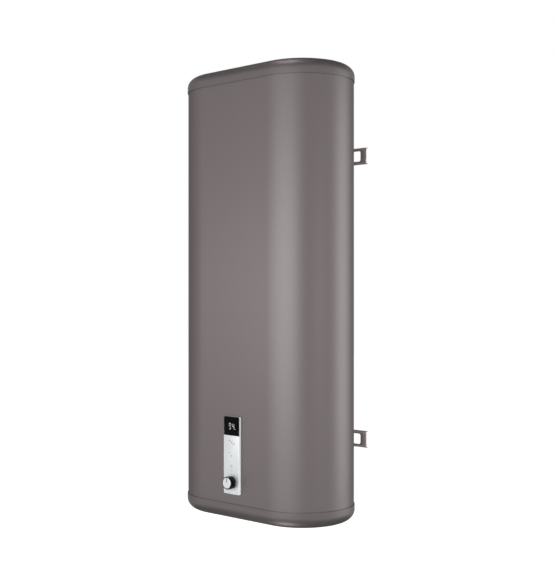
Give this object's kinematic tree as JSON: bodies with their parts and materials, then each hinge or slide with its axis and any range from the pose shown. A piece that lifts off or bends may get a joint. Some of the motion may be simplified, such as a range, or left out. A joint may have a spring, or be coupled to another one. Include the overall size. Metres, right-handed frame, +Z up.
{
  "type": "storage water heater",
  "caption": "Flat wall-hung storage water heater: taupe stadium-shaped casing, hidden twin tanks, slim silver control panel with dark display and rotary knob, hook brackets behind.",
  "frame": {"origin": "on the wall plane, at the middle of the rear edge of the upper hook bracket's top lip", "axes": "+Z up along the body, +Y from the heater's back into the wall, +X to the right seen from the front; the front faces -Y"},
  "size_m": [0.51, 0.315, 1.202],
  "materials": {
    "bottom_lid": "satin taupe-grey metallic paint",
    "cable_gland": "black nylon",
    "casing_shell": "satin taupe-grey metallic paint",
    "cold_collar": "blue plastic",
    "cold_inlet_pipe": "stainless steel pipe",
    "component_plate": "zinc-plated sheet steel",
    "control_board": "green circuit board",
    "cover_screw": "plated steel",
    "display_module": "white plastic",
    "display_window": "black glossy window",
    "hot_collar": "red plastic",
    "hot_outlet_pipe": "stainless steel pipe",
    "insulation_foam": "rigid cream foam",
    "knob_body": "black gloss plastic",
    "knob_cap": "brushed silver aluminium",
    "knob_spindle": "plated metal",
    "anode": "dull cast magnesium",
    "element": "bright element sheath",
    "flange": "zinc-plated steel",
    "gasket": "black rubber",
    "flange_nut": "zinc-plated steel",
    "tank": "brushed stainless steel with welds",
    "thermowell": "stainless tube",
    "bracket_bolt": "zinc-plated steel",
    "bracket": "satin taupe-grey metallic paint",
    "hanger_plate": "zinc-plated sheet steel",
    "panel_bezel": "bright chrome",
    "panel_box": "grey plastic",
    "panel_lead": "black jacket",
    "panel_plate": "brushed silver aluminium",
    "potentiometer": "plated metal",
    "power_board": "green circuit board",
    "reset_button": "red plastic",
    "service_cover": "fine-textured taupe plastic",
    "terminal_block": "cream plastic",
    "thermal_cutout": "black plastic",
    "top_lid": "satin taupe-grey metallic paint",
    "transfer_pipe": "stainless steel pipe"
  },
  "bodies": {
    "heater": {"bottom_lid": "bottom_lid", "cable_gland": "cable_gland", "casing_shell": "casing_shell", "cold_collar": "cold_collar", "cold_inlet_pipe": "cold_inlet_pipe", "component_plate": "component_plate", "control_board": "control_board", "cover_screw_1": "cover_screw", "cover_screw_2": "cover_screw", "cover_screw_3": "cover_screw", "cover_screw_4": "cover_screw", "display_module": "display_module", "display_window": "display_window", "hot_collar": "hot_collar", "hot_outlet_pipe": "hot_outlet_pipe", "insulation_foam": "insulation_foam", "left_anode": "anode", "left_element": "element", "left_flange": "flange", "left_gasket": "gasket", "left_nut_1": "flange_nut", "left_nut_2": "flange_nut", "left_nut_3": "flange_nut", "left_nut_4": "flange_nut", "left_tank": "tank", "left_thermowell": "thermowell", "lower_bolt_1": "bracket_bolt", "lower_bolt_2": "bracket_bolt", "lower_bracket": "bracket", "lower_hanger_plate": "hanger_plate", "panel_bezel": "panel_bezel", "panel_box": "panel_box", "panel_lead": "panel_lead", "panel_plate": "panel_plate", "potentiometer": "potentiometer", "power_board": "power_board", "right_anode": "anode", "right_element": "element", "right_flange": "flange", "right_gasket": "gasket", "right_nut_1": "flange_nut", "right_nut_2": "flange_nut", "right_nut_3": "flange_nut", "right_nut_4": "flange_nut", "right_tank": "tank", "right_thermowell": "thermowell", "service_cover": "service_cover", "terminal_block": "terminal_block", "thermal_cutout": "thermal_cutout", "top_lid": "top_lid", "transfer_pipe": "transfer_pipe", "upper_bolt_1": "bracket_bolt", "upper_bolt_2": "bracket_bolt", "upper_bracket": "bracket", "upper_hanger_plate": "hanger_plate"},
    "temperature_knob": {"knob_body": "knob_body", "knob_cap": "knob_cap", "knob_spindle": "knob_spindle"},
    "reset_button": {"reset_button": "reset_button"}
  },
  "joints": [
    {"name": "temperature_knob_turn", "type": "hinge", "parent": "heater", "child": "temperature_knob", "pos_m": [0, -0.3, -0.87485], "axis": [0, 1, 0], "range_deg": [-135, 135]},
    {"name": "reset_button_slide", "type": "slide", "parent": "heater", "child": "reset_button", "axis": [0, 0, -1], "range_m": [0, 0.002]}
  ]
}
